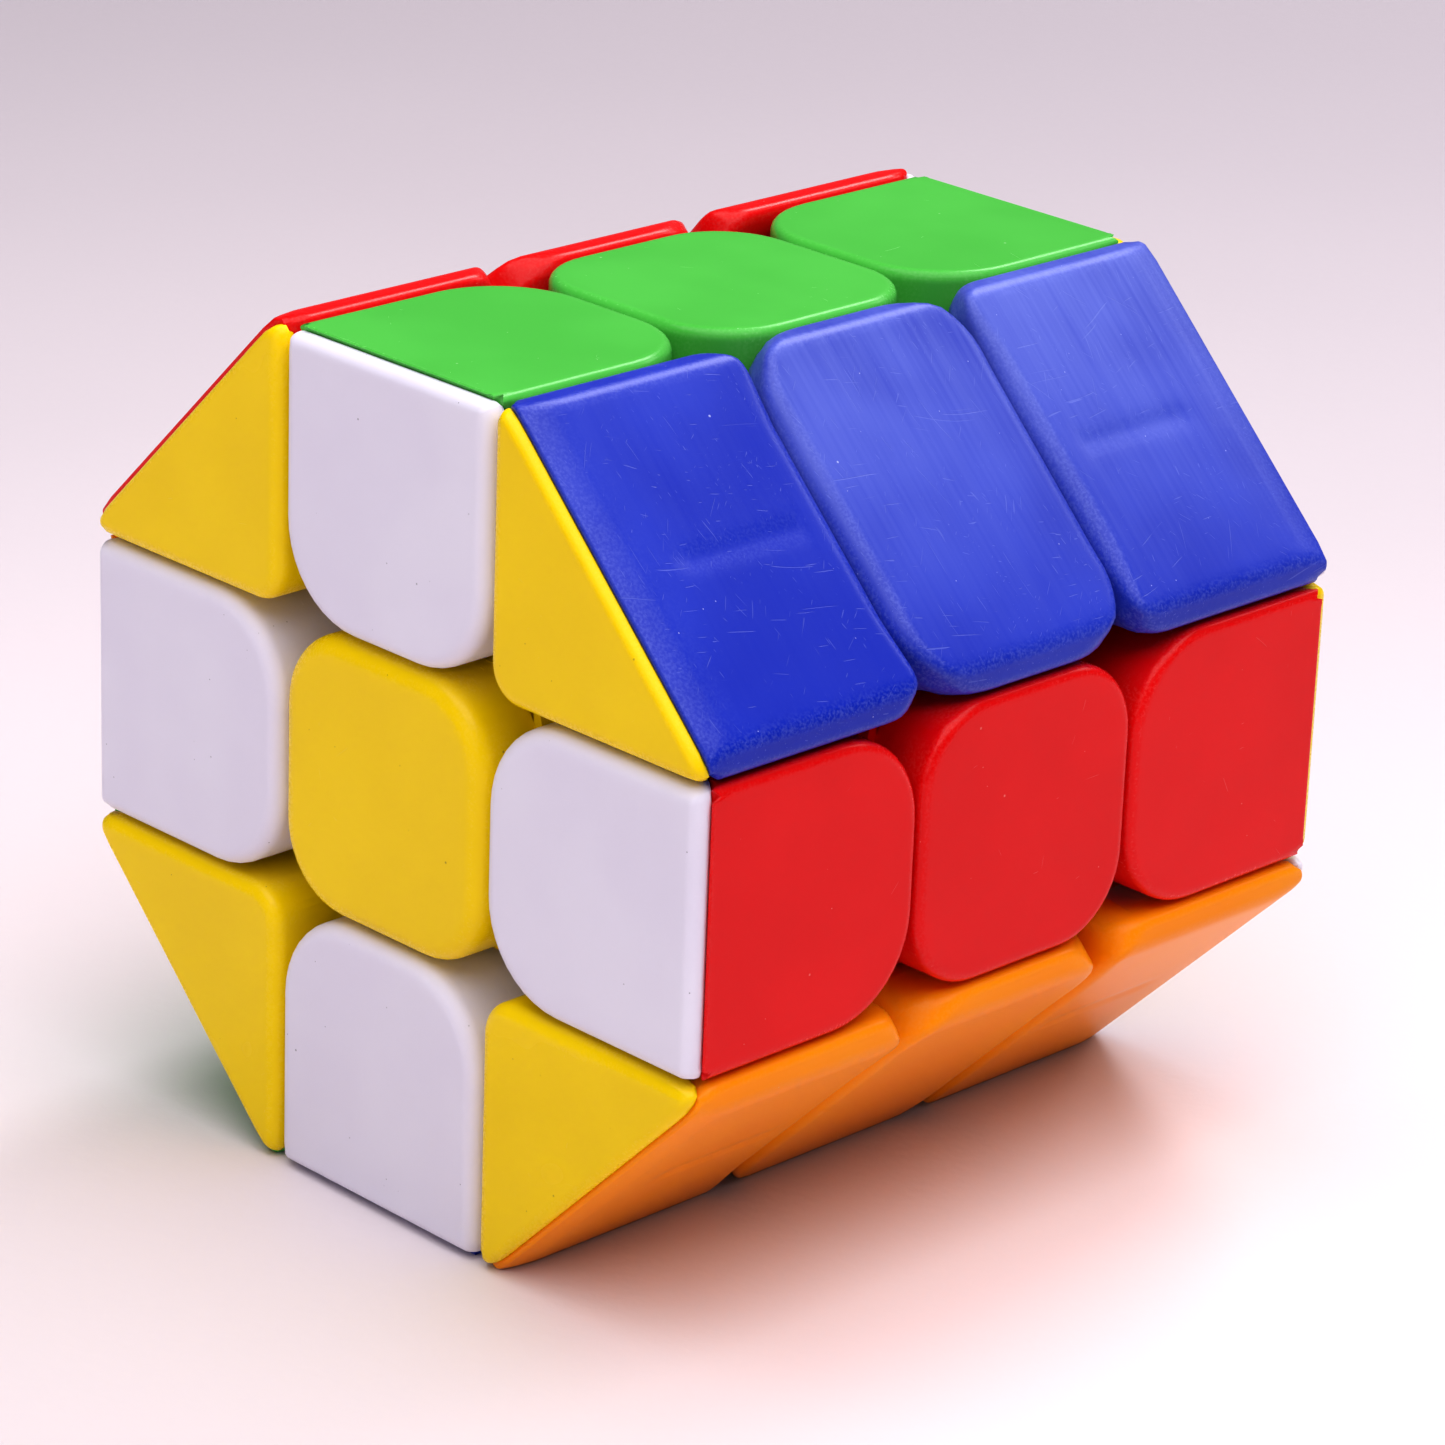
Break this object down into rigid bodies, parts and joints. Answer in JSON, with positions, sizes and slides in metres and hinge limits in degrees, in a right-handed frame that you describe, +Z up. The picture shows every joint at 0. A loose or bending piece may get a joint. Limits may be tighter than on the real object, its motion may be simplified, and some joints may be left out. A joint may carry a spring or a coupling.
{
  "type": "octagonal barrel twisty puzzle",
  "caption": "Eight-sided barrel puzzle in three layers per axis: coloured plastic pieces on a sprung core, each face layer turns freely about its own axis.",
  "frame": {"origin": "centre of the core, where the six turning axes meet, which is also the middle of the whole puzzle", "axes": "+Z up out of the flat side opposite the one it rests on; +Y along the prism axis from the front end face to the back one; +X out of the right flat side"},
  "size_m": [0.057, 0.057, 0.057],
  "materials": {
    "yellow": "moulded ABS, softly glossy",
    "white": "moulded ABS, softly glossy",
    "green": "moulded ABS, softly glossy",
    "red": "moulded ABS, softly glossy",
    "blue": "moulded ABS, softly glossy with fine scratches",
    "orange": "moulded ABS, softly glossy",
    "core_plastic": "moulded ABS, plain",
    "steel": "zinc-plated",
    "spring_steel": "drawn wire"
  },
  "bodies": {
    "core": {"core": "core_plastic", "centre_screws": "steel", "screw_washers": "steel", "centre_springs": "spring_steel"},
    "top_centre": {"top_centre_cap": "green", "top_centre_base": "green"},
    "bottom_centre": {"bottom_centre_cap": "blue", "bottom_centre_base": "blue"},
    "right_centre": {"right_centre_cap": "red", "right_centre_base": "red"},
    "left_centre": {"left_centre_cap": "orange", "left_centre_base": "orange"},
    "front_centre": {"front_centre_cap": "yellow", "front_centre_base": "yellow"},
    "back_centre": {"back_centre_cap": "white", "back_centre_base": "white"},
    "front_top_edge": {"front_top_edge_end_half": "white", "front_top_edge_side_half": "green"},
    "front_right_edge": {"front_right_edge_end_half": "white", "front_right_edge_side_half": "red"},
    "front_bottom_edge": {"front_bottom_edge_end_half": "white", "front_bottom_edge_side_half": "blue"},
    "front_left_edge": {"front_left_edge_end_half": "white", "front_left_edge_side_half": "orange"},
    "back_top_edge": {"back_top_edge_end_half": "yellow", "back_top_edge_side_half": "green"},
    "back_right_edge": {"back_right_edge_end_half": "yellow", "back_right_edge_side_half": "red"},
    "back_bottom_edge": {"back_bottom_edge_end_half": "yellow", "back_bottom_edge_side_half": "blue"},
    "back_left_edge": {"back_left_edge_end_half": "yellow", "back_left_edge_side_half": "orange"},
    "upper_right_edge": {"upper_right_edge_shell": "blue", "upper_right_edge_base": "blue"},
    "lower_right_edge": {"lower_right_edge_shell": "orange", "lower_right_edge_base": "orange"},
    "lower_left_edge": {"lower_left_edge_shell": "green", "lower_left_edge_base": "green"},
    "upper_left_edge": {"upper_left_edge_shell": "red", "upper_left_edge_base": "red"},
    "front_upper_right_corner": {"front_upper_right_corner_end_half": "yellow", "front_upper_right_corner_slant_half": "blue"},
    "front_lower_right_corner": {"front_lower_right_corner_end_half": "yellow", "front_lower_right_corner_slant_half": "orange"},
    "front_lower_left_corner": {"front_lower_left_corner_end_half": "yellow", "front_lower_left_corner_slant_half": "green"},
    "front_upper_left_corner": {"front_upper_left_corner_end_half": "yellow", "front_upper_left_corner_slant_half": "red"},
    "back_upper_right_corner": {"back_upper_right_corner_end_half": "white", "back_upper_right_corner_slant_half": "blue"},
    "back_lower_right_corner": {"back_lower_right_corner_end_half": "white", "back_lower_right_corner_slant_half": "orange"},
    "back_lower_left_corner": {"back_lower_left_corner_end_half": "white", "back_lower_left_corner_slant_half": "green"},
    "back_upper_left_corner": {"back_upper_left_corner_end_half": "white", "back_upper_left_corner_slant_half": "red"}
  },
  "joints": [
    {"name": "top_turn", "type": "hinge", "parent": "core", "child": "top_centre", "pos_m": [0, 0, 0], "axis": [0, 0, 1], "continuous": true},
    {"name": "bottom_turn", "type": "hinge", "parent": "core", "child": "bottom_centre", "pos_m": [0, 0, 0], "axis": [0, 0, 1], "continuous": true},
    {"name": "right_turn", "type": "hinge", "parent": "core", "child": "right_centre", "pos_m": [0, 0, 0], "axis": [1, 0, 0], "continuous": true},
    {"name": "left_turn", "type": "hinge", "parent": "core", "child": "left_centre", "pos_m": [0, 0, 0], "axis": [1, 0, 0], "continuous": true},
    {"name": "front_turn", "type": "hinge", "parent": "core", "child": "front_centre", "pos_m": [0, 0, 0], "axis": [0, 1, 0], "continuous": true},
    {"name": "back_turn", "type": "hinge", "parent": "core", "child": "back_centre", "pos_m": [0, 0, 0], "axis": [0, 1, 0], "continuous": true},
    {"name": "front_top_edge_turn", "type": "hinge", "parent": "top_centre", "child": "front_top_edge", "pos_m": [0, 0, 0], "axis": [0, 1, 0], "continuous": true},
    {"name": "front_right_edge_turn", "type": "hinge", "parent": "front_centre", "child": "front_right_edge", "pos_m": [0, 0, 0], "axis": [1, 0, 0], "continuous": true},
    {"name": "front_bottom_edge_turn", "type": "hinge", "parent": "bottom_centre", "child": "front_bottom_edge", "pos_m": [0, 0, 0], "axis": [0, 1, 0], "continuous": true},
    {"name": "front_left_edge_turn", "type": "hinge", "parent": "front_centre", "child": "front_left_edge", "pos_m": [0, 0, 0], "axis": [1, 0, 0], "continuous": true},
    {"name": "back_top_edge_turn", "type": "hinge", "parent": "top_centre", "child": "back_top_edge", "pos_m": [0, 0, 0], "axis": [0, 1, 0], "continuous": true},
    {"name": "back_right_edge_turn", "type": "hinge", "parent": "back_centre", "child": "back_right_edge", "pos_m": [0, 0, 0], "axis": [1, 0, 0], "continuous": true},
    {"name": "back_bottom_edge_turn", "type": "hinge", "parent": "bottom_centre", "child": "back_bottom_edge", "pos_m": [0, 0, 0], "axis": [0, 1, 0], "continuous": true},
    {"name": "back_left_edge_turn", "type": "hinge", "parent": "back_centre", "child": "back_left_edge", "pos_m": [0, 0, 0], "axis": [1, 0, 0], "continuous": true},
    {"name": "upper_right_edge_turn", "type": "hinge", "parent": "right_centre", "child": "upper_right_edge", "pos_m": [0, 0, 0], "axis": [0, 0, 1], "continuous": true},
    {"name": "lower_right_edge_turn", "type": "hinge", "parent": "right_centre", "child": "lower_right_edge", "pos_m": [0, 0, 0], "axis": [0, 0, 1], "continuous": true},
    {"name": "lower_left_edge_turn", "type": "hinge", "parent": "left_centre", "child": "lower_left_edge", "pos_m": [0, 0, 0], "axis": [0, 0, 1], "continuous": true},
    {"name": "upper_left_edge_turn", "type": "hinge", "parent": "left_centre", "child": "upper_left_edge", "pos_m": [0, 0, 0], "axis": [0, 0, 1], "continuous": true},
    {"name": "front_upper_right_corner_turn", "type": "hinge", "parent": "front_top_edge", "child": "front_upper_right_corner", "pos_m": [0, 0, 0], "axis": [1, 0, 0], "continuous": true},
    {"name": "front_lower_right_corner_turn", "type": "hinge", "parent": "front_bottom_edge", "child": "front_lower_right_corner", "pos_m": [0, 0, 0], "axis": [1, 0, 0], "continuous": true},
    {"name": "front_lower_left_corner_turn", "type": "hinge", "parent": "front_bottom_edge", "child": "front_lower_left_corner", "pos_m": [0, 0, 0], "axis": [1, 0, 0], "continuous": true},
    {"name": "front_upper_left_corner_turn", "type": "hinge", "parent": "front_top_edge", "child": "front_upper_left_corner", "pos_m": [0, 0, 0], "axis": [1, 0, 0], "continuous": true},
    {"name": "back_upper_right_corner_turn", "type": "hinge", "parent": "back_top_edge", "child": "back_upper_right_corner", "pos_m": [0, 0, 0], "axis": [1, 0, 0], "continuous": true},
    {"name": "back_lower_right_corner_turn", "type": "hinge", "parent": "back_bottom_edge", "child": "back_lower_right_corner", "pos_m": [0, 0, 0], "axis": [1, 0, 0], "continuous": true},
    {"name": "back_lower_left_corner_turn", "type": "hinge", "parent": "back_bottom_edge", "child": "back_lower_left_corner", "pos_m": [0, 0, 0], "axis": [1, 0, 0], "continuous": true},
    {"name": "back_upper_left_corner_turn", "type": "hinge", "parent": "back_top_edge", "child": "back_upper_left_corner", "pos_m": [0, 0, 0], "axis": [1, 0, 0], "continuous": true}
  ],
  "couplings": [
    {"joint": "front_top_edge_turn", "follows": "front_turn", "ratio": 1},
    {"joint": "front_right_edge_turn", "follows": "right_turn", "ratio": 1},
    {"joint": "front_bottom_edge_turn", "follows": "front_turn", "ratio": 1},
    {"joint": "front_left_edge_turn", "follows": "left_turn", "ratio": 1},
    {"joint": "back_top_edge_turn", "follows": "back_turn", "ratio": 1},
    {"joint": "back_right_edge_turn", "follows": "right_turn", "ratio": 1},
    {"joint": "back_bottom_edge_turn", "follows": "back_turn", "ratio": 1},
    {"joint": "back_left_edge_turn", "follows": "left_turn", "ratio": 1},
    {"joint": "upper_right_edge_turn", "follows": "top_turn", "ratio": 1},
    {"joint": "lower_right_edge_turn", "follows": "bottom_turn", "ratio": 1},
    {"joint": "lower_left_edge_turn", "follows": "bottom_turn", "ratio": 1},
    {"joint": "upper_left_edge_turn", "follows": "top_turn", "ratio": 1},
    {"joint": "front_upper_right_corner_turn", "follows": "right_turn", "ratio": 1},
    {"joint": "front_lower_right_corner_turn", "follows": "right_turn", "ratio": 1},
    {"joint": "front_lower_left_corner_turn", "follows": "left_turn", "ratio": 1},
    {"joint": "front_upper_left_corner_turn", "follows": "left_turn", "ratio": 1},
    {"joint": "back_upper_right_corner_turn", "follows": "right_turn", "ratio": 1},
    {"joint": "back_lower_right_corner_turn", "follows": "right_turn", "ratio": 1},
    {"joint": "back_lower_left_corner_turn", "follows": "left_turn", "ratio": 1},
    {"joint": "back_upper_left_corner_turn", "follows": "left_turn", "ratio": 1}
  ]
}
